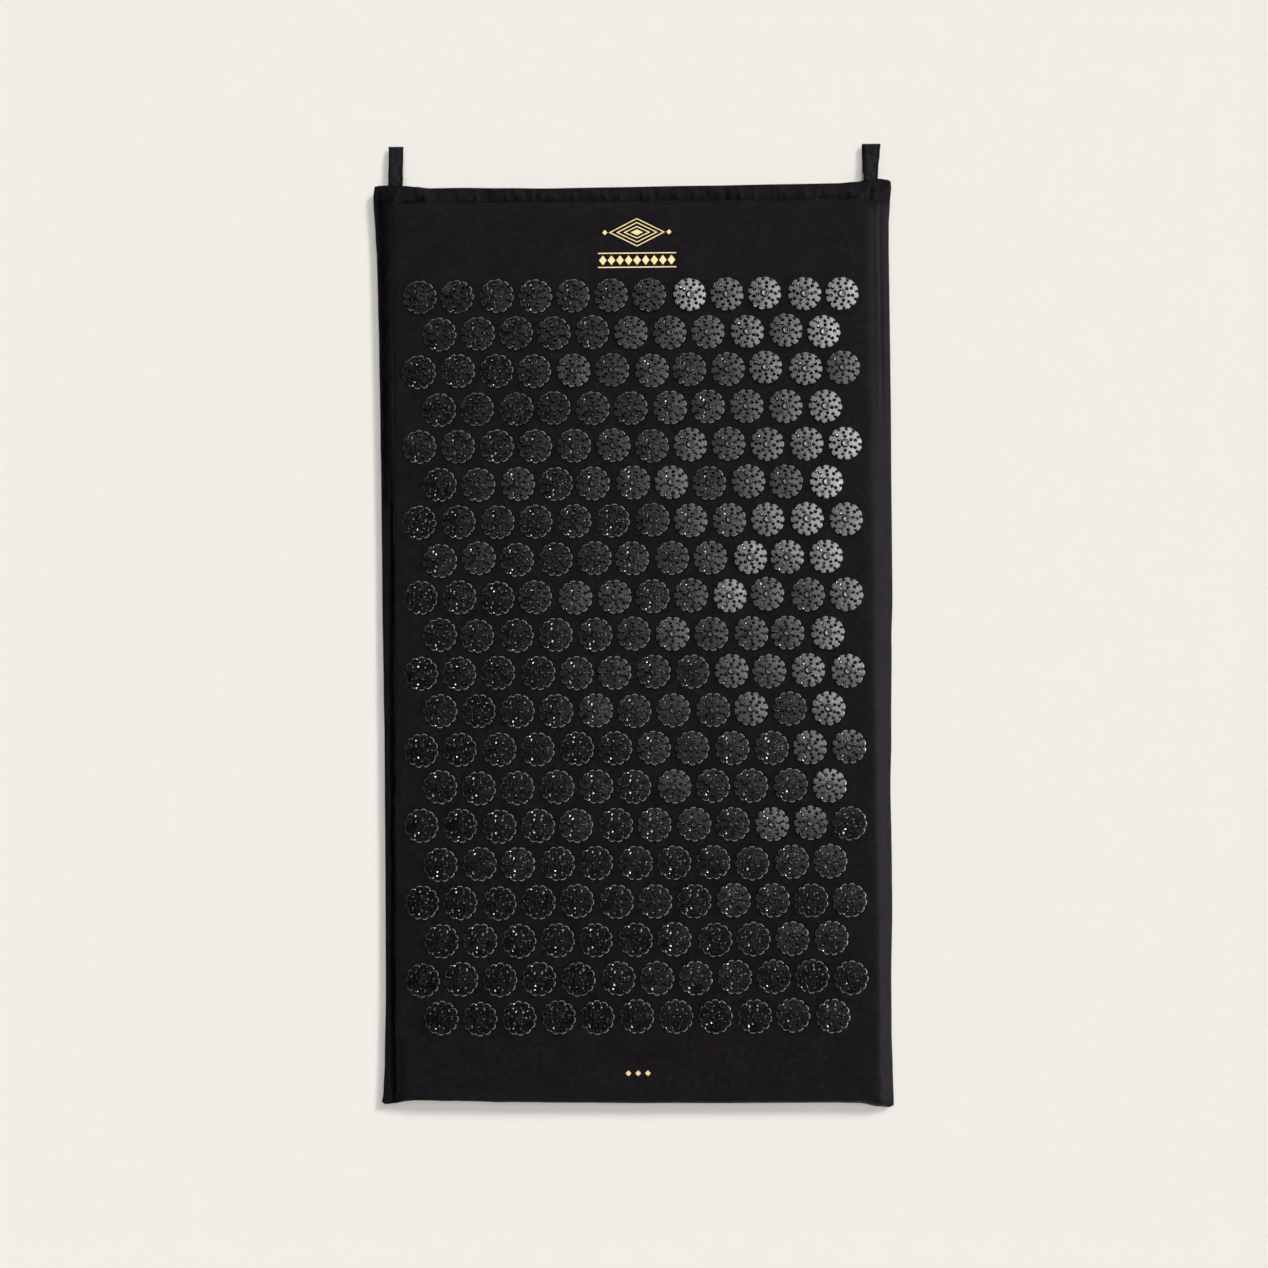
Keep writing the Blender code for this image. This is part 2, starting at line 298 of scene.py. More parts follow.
def ease(value, start, length):
    """Gentle step from 0 at the start to 1 a length further on."""
    return smoothstep((value - start) / length)


def hump(value, centre, width):
    """Bell curve, 1 high at its centre."""
    return math.exp(-((value - centre) / width) ** 2)


def fall(distance, reach):
    """Decay from 1 at no distance."""
    return math.exp(-max(distance, 0.0) / reach)


def waviness(x, width, y, length, layer):
    """Soft noise, stretched to a width along x and a length along y."""
    return noise.noise(Vector((x / width, y / length, layer)))


def along(points, place):
    """Value at a place on a line through the points, eased between them."""
    places = [point[0] for point in points]
    values = [point[1] for point in points]
    place = min(max(place, places[0]), places[-1])
    index = max(i for i in range(len(places) - 1) if places[i] <= place)
    share = (place - places[index]) / (places[index + 1] - places[index])
    return values[index] + (values[index + 1] - values[index]) * smoothstep(share)


# Materials


def new_material(name):
    """A material with its node tree and its shader."""
    material = bpy.data.materials.new(name)
    material.use_nodes = True
    tree = material.node_tree
    return material, tree, tree.nodes["Principled BSDF"]


def set_inputs(tree, node, inputs):
    """Give a node's inputs their values, or links from other sockets."""
    for key, value in inputs.items():
        if isinstance(value, bpy.types.NodeSocket):
            tree.links.new(value, node.inputs[key])
        else:
            node.inputs[key].default_value = value


def add_node(tree, kind, inputs=None, **settings):
    """Add a node with its settings and its inputs."""
    node = tree.nodes.new("ShaderNode" + kind)
    for key, value in settings.items():
        setattr(node, key, value)
    set_inputs(tree, node, inputs or {})
    return node


def calculate(tree, operation, first, second=None):
    """One step of arithmetic on sockets or numbers."""
    inputs = {0: first} if second is None else {0: first, 1: second}
    return add_node(tree, "Math", inputs, operation=operation).outputs[0]


def product(tree, first, *others):
    """Several factors multiplied in turn."""
    for factor in others:
        first = calculate(tree, "MULTIPLY", first, factor)
    return first


def scaled(tree, vector, factor):
    """A vector or colour times a factor."""
    return add_node(tree, "VectorMath", {0: vector, "Scale": factor}, operation="SCALE").outputs[0]


def sine_wave(tree, place, pitch):
    """Waves between -1 and 1, a pitch apart."""
    return calculate(tree, "SINE", product(tree, place, math.tau / pitch))


def mix_values(tree, share, first, second):
    """Mix two numbers or sockets by a share."""
    return add_node(tree, "Mix", {0: share, 2: first, 3: second}, data_type="FLOAT").outputs[0]


def mix_colours(tree, share, first, second):
    """Mix two colours by a share."""
    inputs = {0: share}
    for key, value in ((6, first), (7, second)):
        inputs[key] = (*value, 1.0) if isinstance(value, tuple) else value
    return add_node(tree, "Mix", inputs, data_type="RGBA").outputs[2]


def spread(tree, socket, low, high, new_low=0.0, new_high=1.0):
    """Stretch a range of values to another one."""
    inputs = {"Value": socket, "From Min": low, "From Max": high, "To Min": new_low, "To Max": new_high}
    return add_node(tree, "MapRange", inputs).outputs[0]


def noise_at(tree, vector, scale, detail=2.0, roughness=0.5):
    """Noise value at a vector."""
    inputs = {"Vector": vector, "Scale": scale, "Detail": detail, "Roughness": roughness}
    return add_node(tree, "TexNoise", inputs).outputs["Fac"]


def bump(tree, height, strength, distance):
    """The surface's direction as a height bends it."""
    inputs = {"Height": height, "Strength": strength, "Distance": distance}
    return add_node(tree, "Bump", inputs).outputs[0]


def object_place(tree):
    """Place in the piece, in metres."""
    return add_node(tree, "TexCoord").outputs["Object"]


def plain_weave(tree, vector):
    """Height of a plain weave."""
    parts = add_node(tree, "SeparateXYZ", {0: scaled(tree, vector, 1.0 / WEAVE_PITCH)}).outputs
    crowns = []
    cells = []
    for axis in (0, 1):
        turn = product(tree, parts[axis], math.pi)
        crowns.append(calculate(tree, "ABSOLUTE", calculate(tree, "SINE", turn)))
        cells.append(calculate(tree, "FLOOR", parts[axis]))
    parity = calculate(tree, "FLOORED_MODULO", calculate(tree, "ADD", *cells), 2.0)
    over = mix_values(tree, parity, crowns[0], crowns[1])
    under = mix_values(tree, parity, crowns[1], crowns[0])
    crown = calculate(tree, "POWER", over, 0.6)
    return product(tree, crown, mix_values(tree, under, 0.45, 1.0))


def make_cotton():
    """Black plain-woven cotton: threads, slubs, uneven dye and a little lint, with painted shade in the
    weave's gaps and a painted dark line of shade along the seam.
    """
    material, tree, shader = new_material("woven_black_cotton")
    cloth = add_node(tree, "UVMap", uv_map="cloth").outputs[0]
    from_seam = add_node(tree, "Attribute", attribute_name="from_seam").outputs["Fac"]
    weave = plain_weave(tree, cloth)
    across = add_node(tree, "Mapping", {0: cloth, 3: (45.0, 1600.0, 1.0)}).outputs[0]
    upright = add_node(tree, "Mapping", {0: cloth, 3: (1600.0, 45.0, 1.0)}).outputs[0]
    slubs = calculate(tree, "MAXIMUM", noise_at(tree, across, 1.0, 3.0), noise_at(tree, upright, 1.0, 3.0))
    patches = noise_at(tree, cloth, 48.0, 4.0, 0.55)
    blotches = noise_at(tree, cloth, 210.0, 3.0, 0.6)
    fine = noise_at(tree, cloth, 760.0, 3.0, 0.6)
    shade = product(
        tree,
        spread(tree, patches, 0.38, 0.62, 0.64, 1.36),
        spread(tree, blotches, 0.38, 0.62, 0.42, 1.58),
        spread(tree, fine, 0.36, 0.64, 0.48, 1.52),
        spread(tree, slubs, 0.45, 0.8, 0.85, 1.4),
        # Painted shade: the weave's gaps are darker than the thread crowns.
        spread(tree, weave, 0.0, 0.9, 0.45, 1.15),
        # Painted shade: the cloth darkens to a near-black line within about 2 mm of the seam.
        spread(tree, from_seam, 0.0002, 0.0018, 0.10, 1.0))
    tint = spread(tree, noise_at(tree, cloth, 90.0, 3.0), 0.38, 0.62)
    dye = mix_colours(tree, tint, (0.0026, 0.0024, 0.0027), (0.0034, 0.0023, 0.0034))
    specks = add_node(tree, "TexVoronoi", {"Vector": cloth, "Scale": 260.0}).outputs["Distance"]
    sparse = noise_at(tree, cloth, 180.0, 1.0)
    lint = product(tree, spread(tree, specks, 0.10, 0.05), spread(tree, sparse, 0.62, 0.70), 0.5)
    relief = calculate(tree, "ADD", weave, product(tree, slubs, 0.5))
    set_inputs(tree, shader, {
        "Base Color": mix_colours(tree, lint, scaled(tree, dye, shade), (0.075, 0.072, 0.076)),
        "Roughness": spread(tree, fine, 0.36, 0.64, 0.48, 0.62),
        "Normal": bump(tree, relief, 0.55, 0.00012),
        "IOR": 1.13,
        "Specular Tint": (1.0, 0.93, 1.0, 1.0),
        "Sheen Weight": 0.03,
        "Sheen Roughness": 0.40,
        "Sheen Tint": (0.86, 0.76, 0.98, 1.0),
    })
    return material


def make_tape():
    """Black cotton tape with a fine twill, painted shade in the twill's grooves, a painted mottle of
    crumple shading, and painted shade darkening both edges.
    """
    material, tree, shader = new_material("woven_black_tape")
    tape = add_node(tree, "UVMap", uv_map="cloth").outputs[0]
    parts = add_node(tree, "SeparateXYZ", {0: tape}).outputs
    ribs = sine_wave(tree, calculate(tree, "ADD", parts[0], parts[1]), 0.0011)
    threads = sine_wave(tree, parts[0], 0.00055)
    relief = calculate(tree, "ADD", ribs, product(tree, threads, 0.5))
    centred = calculate(tree, "SUBTRACT", parts[0], TAPE_WIDTH / 2)
    # Painted shade: the twill's grooves are darker, and a coarse mottle stands for the light and shade of
    # crumples. The fine noise is uneven tone.
    shade = product(
        tree,
        spread(tree, relief, -1.5, 1.5, 0.65, 1.25),
        spread(tree, noise_at(tree, tape, 700.0, 3.0), 0.3, 0.7, 0.8, 1.2),
        # Painted shade: the tape darkens to near black along both edges.
        spread(tree, calculate(tree, "ABSOLUTE", centred), 0.0034, 0.0052, 1.0, 0.12),
        spread(tree, noise_at(tree, tape, 260.0, 3.0), 0.38, 0.62, 0.45, 1.55))
    dye = add_node(tree, "CombineXYZ", {0: 0.0132, 1: 0.0120, 2: 0.0140}).outputs[0]
    set_inputs(tree, shader, {
        "Base Color": scaled(tree, dye, shade),
        "Roughness": 0.86,
        "Normal": bump(tree, relief, 0.6, 0.00012),
        "Specular IOR Level": 0.06,
        "Sheen Weight": 0.01,
        "Sheen Tint": (0.86, 0.80, 0.95, 1.0),
    })
    return material


def make_plastic():
    """Black moulded plastic: satin, with faint flow marks, fine scuffs and dust."""
    material, tree, shader = new_material("moulded_black_plastic")
    place = object_place(tree)
    flow = noise_at(tree, place, 160.0, 3.0, 0.6)
    fine = noise_at(tree, place, 2600.0, 2.0, 0.6)
    dusty = spread(tree, noise_at(tree, place, 900.0, 4.0, 0.7), 0.5, 0.75)
    rough = spread(tree, flow, 0.3, 0.7, 0.16, 0.26)
    relief = calculate(tree, "ADD", product(tree, flow, 0.7), product(tree, fine, 0.15))
    set_inputs(tree, shader, {
        "Base Color": mix_colours(tree, dusty, (0.0006, 0.0006, 0.0007), (0.0034, 0.0033, 0.0030)),
        "Roughness": calculate(tree, "ADD", rough, spread(tree, fine, 0.3, 0.7, -0.03, 0.05)),
        "Normal": bump(tree, relief, 0.35, 0.00022),
        "IOR": 1.54,
    })
    return material


def make_gold_print():
    """Gold ink printed on the weave, worn thin in places."""
    material, tree, shader = new_material("gold_print")
    place = object_place(tree)
    weave = plain_weave(tree, place)
    worn = noise_at(tree, place, 900.0, 3.0, 0.6)
    thin = product(tree, spread(tree, weave, 0.5, 0.1), spread(tree, worn, 0.45, 0.7))
    set_inputs(tree, shader, {
        "Base Color": mix_colours(tree, thin, (0.66, 0.52, 0.25), (0.16, 0.12, 0.06)),
        "Roughness": spread(tree, worn, 0.3, 0.7, 0.42, 0.6),
        "Normal": bump(tree, weave, 0.4, 0.00008),
        "Metallic": 0.25,
    })
    return material


def make_foam():
    """Pale open-cell foam, with painted shade darkening the middle of each cell."""
    material, tree, shader = new_material("open_cell_foam")
    place = object_place(tree)
    cells = add_node(tree, "TexVoronoi", {"Vector": place, "Scale": 900.0}).outputs["Distance"]
    coarse = product(tree, noise_at(tree, place, 60.0, 4.0, 0.6), 0.3)
    # Painted shade: each cell is darker towards its middle, as in a pore's hollow.
    colour = mix_colours(tree, spread(tree, cells, 0.1, 0.7), (0.42, 0.40, 0.35), (0.66, 0.64, 0.58))
    set_inputs(tree, shader, {
        "Base Color": mix_colours(tree, coarse, colour, (0.60, 0.56, 0.46)),
        "Roughness": 0.95,
        "Normal": bump(tree, cells, 0.8, 0.0004),
        "Specular IOR Level": 0.2,
    })
    return material


def make_thread():
    """Black sewing thread, twisted and dull, with light and shade painted along its twist."""
    material, tree, shader = new_material("black_thread")
    parts = add_node(tree, "SeparateXYZ", {0: object_place(tree)}).outputs
    twist = sine_wave(tree, calculate(tree, "ADD", parts[0], parts[1]), 0.0004)
    # Painted light and shade: the colour brightens and darkens with each turn of the twist.
    twist_painted_light = spread(tree, twist, -1.0, 1.0)
    set_inputs(tree, shader, {
        "Base Color": mix_colours(tree, twist_painted_light, (0.0026, 0.0024, 0.0027), (0.0060, 0.0053, 0.0061)),
        "Roughness": 0.80,
        "Normal": bump(tree, twist, 0.5, 0.00006),
        "Specular IOR Level": 0.10,
    })
    return material


def give(item, material):
    """The piece has this one material."""
    item.data.materials.clear()
    item.data.materials.append(material)


# Cover

# Folds in the cloth: start, end, half width and height of each. A fold fades out over a
# tail beyond each end.
FOLD_TAIL = 0.2
FOLDS = (
    ((-0.189, 0.3424), (-0.155, 0.3487), 0.0019, -0.0016),
    ((-0.137, 0.3318), (-0.1245, 0.3395), 0.0015, -0.0008),
    ((-0.126, 0.344), (-0.108, 0.3425), 0.0018, -0.0006),
    ((-0.14, 0.334), (-0.127, 0.3415), 0.0015, 0.0007),
    ((-0.189, 0.354), (-0.179, 0.344), 0.002, 0.0007),
    ((0.189, 0.343), (0.201, 0.339), 0.0024, -0.0016),
    ((0.189, 0.356), (0.193, 0.342), 0.0016, -0.0009),
    ((0.202, 0.347), (0.204, 0.325), 0.0014, 0.0006),
    ((0.148, 0.347), (0.186, 0.344), 0.002, -0.0006),
    ((-0.169, -0.344), (-0.143, -0.365), 0.0028, 0.0005),
    ((-0.129, -0.348), (-0.1, -0.379), 0.003, 0.0005),
    ((-0.176, -0.354), (-0.169, -0.364), 0.002, 0.0004),
    ((-0.187, -0.104), (-0.1865, -0.144), 0.0016, 0.0004),
    ((-0.1735, -0.304), (-0.1745, -0.334), 0.0018, 0.0004),
    ((0.1862, -0.333), (0.1868, -0.356), 0.0016, -0.0006),
    ((0.196, -0.362), (0.199, -0.372), 0.0018, -0.0012),
    ((0.189, -0.376), (0.201, -0.388), 0.0018, -0.0008),
    ((-0.1985, -0.37), (-0.193, -0.384), 0.0026, -0.0016),
)


def fold_height(x, y):
    """Height that the listed folds add at a place."""
    total = 0.0
    for start, end, half_width, height in FOLDS:
        run = (end[0] - start[0], end[1] - start[1])
        length = math.hypot(*run)
        share = ((x - start[0]) * run[0] + (y - start[1]) * run[1]) / length ** 2
        if -FOLD_TAIL < share < 1 + FOLD_TAIL:
            off = abs((x - start[0]) * run[1] - (y - start[1]) * run[0]) / length
            if off < 3 * half_width:
                fade = ease(share, -FOLD_TAIL, 0.5) * ease(-share, -1 - FOLD_TAIL, 0.5)
                total += height * fade * hump(off, 0.0, half_width)
    return total


def flat_wave(x, y):
    """Slight unevenness of the cloth where it lies on the foam."""
    return 0.00034 * waviness(x, 0.045, y, 0.045, 1.7) + 0.00020 * waviness(x, 0.014, y, 0.014, 5.1)


def cloth_top(x, y):
    """Height of the cloth over the foam, folds included."""
    return CLOTH_LEVEL + flat_wave(x, y) + fold_height(x, y)


def stations(flat_low, flat_high, low_steps, high_steps, pitch):
    """Grid lines: shares of the low band, then places on the flat part, then shares of the high band."""
    lines = [("low", step / low_steps) for step in range(low_steps)]
    count = round((flat_high - flat_low) / pitch)
    lines += [("flat", flat_low + (flat_high - flat_low) * step / count) for step in range(count + 1)]
    lines += [("high", 1 - step / high_steps) for step in range(1, high_steps + 1)]
    return lines


def line_place(line, low, high, flat_low, flat_high):
    """Place of a grid line between two edges, and its share of the way from the edge to the flat."""
    kind, value = line
    if kind == "low":
        return low + (flat_low - low) * value, value
    if kind == "high":
        return high + (flat_high - high) * value, value
    return value, 1.0


def wall_share(out, width):
    """Height share of the cloth at a distance out from the foam's edge."""
    return smoothstep(1.0 - out / width)


def hollow_share(y):
    """How far the left side sinks to a hollow: fully towards the loop end, not at all towards the foot."""
    return ease(y, 0.03, 0.17)


def corner_share(y):
    """How far the foam's left edge is pressed down: only in the corner by the foot."""
    return ease(-y, 0.328, 0.016)


def shoulder_drop(x, y):
    """The cloth's fall just inside the foam's edge: soft on the right, deep in the left corner."""
    pressed = corner_share(y)
    left = (0.0006 + 0.0085 * pressed) * fall(x - FLAT_LEFT, 0.0012 + 0.0040 * pressed)
    right = 0.0013 * fall(FLAT_RIGHT - x, 0.0032)
    foot = 0.0005 * fall(y - FLAT_FOOT, 0.0020)
    loop = 0.0008 * fall(FLAT_LOOP - y, 0.0035)
    return left + right + foot + loop


def foam_level(x, y):
    """Height of the foam's top, which is rounded off along its edges."""
    inside = min(x - FOAM_LOW.x, FOAM_HIGH.x - x, y - FOAM_LOW.y, FOAM_HIGH.y - y)
    short = FOAM_ROUND - min(max(inside, 0.0), FOAM_ROUND)
    return FOAM_HIGH.z - FOAM_ROUND + math.sqrt(FOAM_ROUND ** 2 - short ** 2)


def side_wall(x, y, side_share):
    """Height share of the cloth beside the foam: steep on the left, sloping on the right."""
    if x < FLAT_LEFT:
        steep = (1.0 - min((FLAT_LEFT - x) / LEFT_WALL, 1.0)) ** 1.3
        sloping = max((side_share - 0.22) / 0.78, 0.0)
        return steep + (sloping - steep) * hollow_share(y)
    if x > FLAT_RIGHT:
        return 1.0 - (1.0 - side_share) ** 1.15
    return 1.0


def end_wall(y, end_share):
    """Height share of the cloth beyond the foam's ends: a hem at the loops, a short drop at the foot."""
    if y > FLAT_LOOP:
        return float(np.interp(y - FLAT_LOOP, HEM_PLACES, HEM_SHARES))
    if y < FLAT_FOOT:
        return 1.0 - (1.0 - end_share) ** 5.0
    return 1.0


def side_relief(x, y, side_share):
    """Hollow, lip and ridge beside the long sides, with small creases along them."""
    hollow = hollow_share(y)
    creases = waviness(x, 0.004, y, 0.022, 3.3) * math.sin(math.pi * side_share)
    relief = (0.0008 - 0.0006 * hollow if x < 0 else 0.0002) * creases
    if x < FLAT_LEFT:
        out = FLAT_LEFT - x
        valley = max(min((side_share - 0.14) / 0.15, (1.0 - side_share) / 0.70), 0.0)
        relief -= 0.0066 * hollow * valley
        relief -= 0.0060 * (1 - hollow) * hump(out, 0.0020, 0.0011)
        relief += 0.0008 * (1 - hollow) * hump(out, 0.0060, 0.0020)
    if x > FLAT_RIGHT:
        out = x - FLAT_RIGHT
        upper = ease(y, 0.12, 0.10)
        relief -= 0.0010 * upper * hump(out, 0.0093, 0.0012)
        relief += 0.0006 * upper * hump(out, 0.0068, 0.0016)
    return relief


def hem_relief(x, out):
    """The hem at the loop end: puckers that run across it and a soft stitched groove along it."""
    wander = 0.0011 * waviness(x, 0.035, 2.2, 1, 7.7)
    depth = 0.0018 + 0.0011 * waviness(x, 0.012, 6.2, 1, 1.7)
    groove = depth * hump(out - HEM_LINE - wander, 0.0, 0.0023)
    fine = waviness(x, 0.0036, out, 0.016, 4.4)
    broad = noise.noise(Vector((x / 0.0095 + out / 0.02, out / 0.02, 9.4)))
    tape = sum(math.exp(-((x - centre) / (0.45 * TAPE_WIDTH)) ** 4) for centre in LOOP_CENTRES)
    tape *= ease(out, 0.006, 0.003)
    return 0.0040 * (fine + 0.7 * broad) * hump(out, 0.0095, 0.0058) - groove + 0.0008 * tape


def seam_height(x, y):
    """Height of the seam: half-way up at the loop end, lower along the sides and the foot."""
    raised = ease(y, 0.330, 0.025)
    level = SIDE_SEAM + (SEAM_HEIGHT - SIDE_SEAM) * raised
    if x < 0:
        level += LEFT_SEAM_LIFT * ease(-x, 0.150, 0.045) * (1 - raised)
    else:
        level += RIGHT_SEAM_LIFT * ease(y, -0.05, 0.30) * ease(x, 0.150, 0.045) * (1 - raised)
    return level + 0.0009 * waviness(x, 0.07, y, 0.09, 6.6)


def seam_fade(side_share, end_share):
    """0 on the seam line, where the seam tapers to nothing, and 1 a little further in."""
    return min(1.0, min(side_share, end_share) / PLY_SHARE)


def top_height(x, y, side_share, end_share):
    """Height of the top panel. A share is 0 on the seam and 1 from the foam's edge inwards."""
    fade = seam_fade(side_share, end_share)
    strip = seam_height(x, y) + PLY * fade
    side = side_wall(x, y, side_share)
    top = CLOTH_LEVEL + flat_wave(x, y) - shoulder_drop(x, y)
    height = strip + (top - strip) * side * end_wall(y, end_share)
    if side_share < 1.0:
        height += side_relief(x, y, side_share) * min(1.0, end_share * 1.5)
    if y > FLAT_LOOP:
        height += hem_relief(x, y - FLAT_LOOP) * fade * (0.35 + 0.65 * side)
    if y < FLAT_FOOT:
        height += 0.0003 * waviness(x, 0.010, y, 0.006, 8.2) * math.sin(math.pi * end_share)
        height += 0.0005 * hump(end_share, 0.40, 0.12)
    height += fold_height(x, y) * fade
    if side_share == 1.0 and end_share == 1.0:
        height = max(height, foam_level(x, y) + 0.0004 + 0.0008 * corner_share(y))
    return height


def back_height(x, y, side_share, end_share):
    """Height of the back panel: flat on the floor, then up to the seam, nowhere above the top panel."""
    side_out = max(FLAT_LEFT - x, x - FLAT_RIGHT, 0.0)
    end_out = max(y - FLAT_LOOP, FLAT_FOOT - y, 0.0)
    wall = wall_share(side_out, BACK_WALL) * wall_share(end_out, FOOT_WALL)
    rise = PLY * seam_fade(side_share, end_share)
    bulge = math.sin(math.pi * min(side_share, end_share))
    strip = seam_height(x, y) - rise - 0.0016 * bulge
    strip += 0.0006 * waviness(x, 0.012, y, 0.012, 2.2) * bulge
    ceiling = top_height(x, y, side_share, end_share) - 2 * rise
    return max(min(strip * (1 - wall), ceiling), 0.0)


def cover_grid(height_at, flip, name):
    """One panel of the cover as a grid that follows the seam line, with its cloth coordinates."""
    columns = stations(FLAT_LEFT, FLAT_RIGHT, BAND_STEPS, BAND_STEPS, COLUMN_WIDTH)
    rows = stations(FLAT_FOOT, FLAT_LOOP, FOOT_STEPS, HEM_STEPS, ROW_LENGTH)
    deselect()
    bpy.ops.mesh.primitive_grid_add(x_subdivisions=len(columns) - 1, y_subdivisions=len(rows) - 1, size=2)
    panel = named(name)
    places = np.zeros((len(rows), len(columns), 3))
    held = np.zeros((len(rows), len(columns)), dtype=bool)
    inward = np.zeros((len(rows), len(columns)))
    for j, row in enumerate(rows):
        rough_y = line_place(row, ROUGH_FOOT, ROUGH_LOOP, FLAT_FOOT, FLAT_LOOP)[0]
        left = along(LEFT_EDGE, rough_y)
        right = along(RIGHT_EDGE, rough_y)
        for i, column in enumerate(columns):
            x, side_share = line_place(column, left, right, FLAT_LEFT, FLAT_RIGHT)
            low = along(FOOT_EDGE, x)
            high = along(LOOP_EDGE, x)
            y, end_share = line_place(row, low, high, FLAT_FOOT, FLAT_LOOP)
            places[j, i] = (x, y, height_at(x, y, side_share, end_share))
            held[j, i] = min(side_share, end_share) in (0.0, 1.0)
            inward[j, i] = min(x - left, right - x, y - low, high - y)
    set_places(panel, places.reshape(-1, 3))
    lay_cloth(panel, places)
    # Distance in from the seam line, which the cotton uses to paint shade along the seam.
    border = panel.data.attributes.new("from_seam", "FLOAT", "POINT")
    border.data.foreach_set("value", inward.reshape(-1).astype(np.float32))
    if flip:
        pick(panel)
        edit_all()
        bpy.ops.mesh.flip_normals()
        leave_edit()
    group = panel.vertex_groups.new(name="held")
    group.add([int(k) for k in np.flatnonzero(held.reshape(-1))], 1.0, "REPLACE")
    return panel


def lay_cloth(panel, places):
    """Give the panel cloth coordinates in metres, measured along the surface."""
    across = np.zeros(places.shape[:2])
    upward = np.zeros(places.shape[:2])
    across[:, 1:] = np.cumsum(np.linalg.norm(np.diff(places, axis=1), axis=2), axis=1)
    upward[1:, :] = np.cumsum(np.linalg.norm(np.diff(places, axis=0), axis=2), axis=0)
    layer = panel.data.uv_layers.active or panel.data.uv_layers.new()
    layer.name = "cloth"
    write_coordinates(panel, layer, np.stack([across, upward], axis=2).reshape(-1, 2))


def build_cover(cotton):
    """The cover: two panels sewn together at the seam, closed round the foam."""
    top = cover_grid(top_height, False, "cover_top")
    back = cover_grid(back_height, True, "cover_back")
    cover = join([top, back], "cotton_cover")
    edit_all()
    bpy.ops.mesh.remove_doubles(threshold=0.00001)
    leave_edit()
    slacken(cover)
    give(cover, cotton)
    smooth(cover, 75)
    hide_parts("cover_top_panel", "cover_back_panel")
    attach(cover, "mat")


def slack_share(place):
    """How much of the simulated movement a place keeps: all in the hem, little at the foot and right."""
    hem = ease(place[1] - FLAT_LOOP, -0.004, 0.008)
    left = ease(-place[0], -(FLAT_LEFT + 0.002), 0.004)
    return max(hem, 0.45 * left, 0.10)


def slacken(cover):
    """Cloth simulation of the border: its cloth is a little too wide there, so it buckles."""
    rest = get_places(cover)
    held = [len(vert.groups) > 0 for vert in cover.data.vertices]
    strip = copy_of(cover, "border_cloth")
    source = strip.data.attributes.new("source", "INT", "POINT")
    source.data.foreach_set("value", np.arange(len(rest), dtype=np.int32))
    pick(strip)
    choose(strip, "polygons", lambda face: all(held[k] for k in face.vertices))
    bpy.ops.mesh.delete(type="FACE")
    leave_edit()
    back_to = np.zeros(len(strip.data.vertices), dtype=np.int32)
    strip.data.attributes["source"].data.foreach_get("value", back_to)
    cloth = strip.modifiers.new("cloth", "CLOTH")
    settings = cloth.settings
    settings.quality = 6
    settings.mass = 0.15
    settings.tension_stiffness = 25
    settings.compression_stiffness = 25
    settings.shear_stiffness = 10
    settings.bending_stiffness = 0.4
    settings.air_damping = 6
    settings.vertex_group_mass = "held"
    settings.shrink_min = -CLOTH_SLACK
    settings.effector_weights.gravity = 0.05
    cloth.collision_settings.use_collision = False
    cloth.collision_settings.use_self_collision = False
    cloth.point_cache.frame_start = 1
    cloth.point_cache.frame_end = CLOTH_FRAMES
    for step in range(1, CLOTH_FRAMES + 1):
        bpy.context.scene.frame_set(step)
    apply(strip, "cloth")
    bpy.context.scene.frame_set(1)
    moved = rest.copy()
    shift = get_places(strip) - rest[back_to]
    length = np.linalg.norm(shift, axis=1, keepdims=True)
    kept = np.array([slack_share(place) for place in rest[back_to]]).reshape(-1, 1)
    moved[back_to] += shift * kept * np.minimum(1.0, CLOTH_LIMIT / np.maximum(length, 1e-9))
    moved[:, 2] = np.maximum(moved[:, 2], 0.0)
    set_places(cover, moved)
    bpy.data.objects.remove(strip)


# Foam


def build_foam(material):
    """The slab inside the cover, its upper edges rounded and its surface slightly wavy."""
    deselect()
    middle = (FOAM_LOW + FOAM_HIGH) / 2
    bpy.ops.mesh.primitive_cube_add(size=1, location=middle, scale=FOAM_HIGH - FOAM_LOW)
    foam = settle(named("foam_slab"))
    choose(foam, "polygons", lambda face: face.normal.z > 0.9)
    bpy.ops.mesh.bevel(offset=FOAM_ROUND, segments=5)
    bpy.ops.mesh.select_all(action="SELECT")
    bpy.ops.mesh.subdivide(number_cuts=5)
    leave_edit()
    places = get_places(foam)
    for place in places:
        x, y, z = place
        dip = 0.0005 + 0.0005 * waviness(x, 0.05, y, 0.05, z / 0.02)
        away = Vector((x - middle.x, y - middle.y, (z - middle.z) * 20))
        place -= np.array(away.normalized()) * dip
    set_places(foam, places)
    give(foam, material)
    smooth(foam, 50)
    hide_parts("foam_pad")
    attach(foam, "mat")


# Discs


def build_plate():
    """The disc's plate: twelve broad petals with narrow notches, a skirt, a soft rim and a low dome."""
    deselect()
    bpy.ops.mesh.primitive_cylinder_add(vertices=PETAL_COUNT * 4, radius=DISC_RADIUS, depth=PLATE_EDGE,
                                        location=(0, 0, PLATE_EDGE / 2))
    plate = settle(named("plate"))
    corners = ((0.0, NOTCH_RADIUS, 0.0), (0.25, FLANK_RADIUS, -1.6), (0.75, FLANK_RADIUS, 1.6))
    for share, radius, turn in corners:
        choose(plate, "vertices", lambda vert: abs((petal_share(vert.co) - share + 0.5) % 1 - 0.5) < 0.05)
        widen(radius / DISC_RADIUS)
        if turn:
            bpy.ops.transform.rotate(value=-math.radians(turn), orient_axis="Z", center_override=(0, 0, 0))
    choose(plate, "polygons", lambda face: face.normal.z > 0.9)
    widen(SKIRT_SHARE)
    step_in(0.952, RIM_RISE)
    step_in(0.50, DOME_RISE)
    leave_edit()
    return smooth(plate, 16)


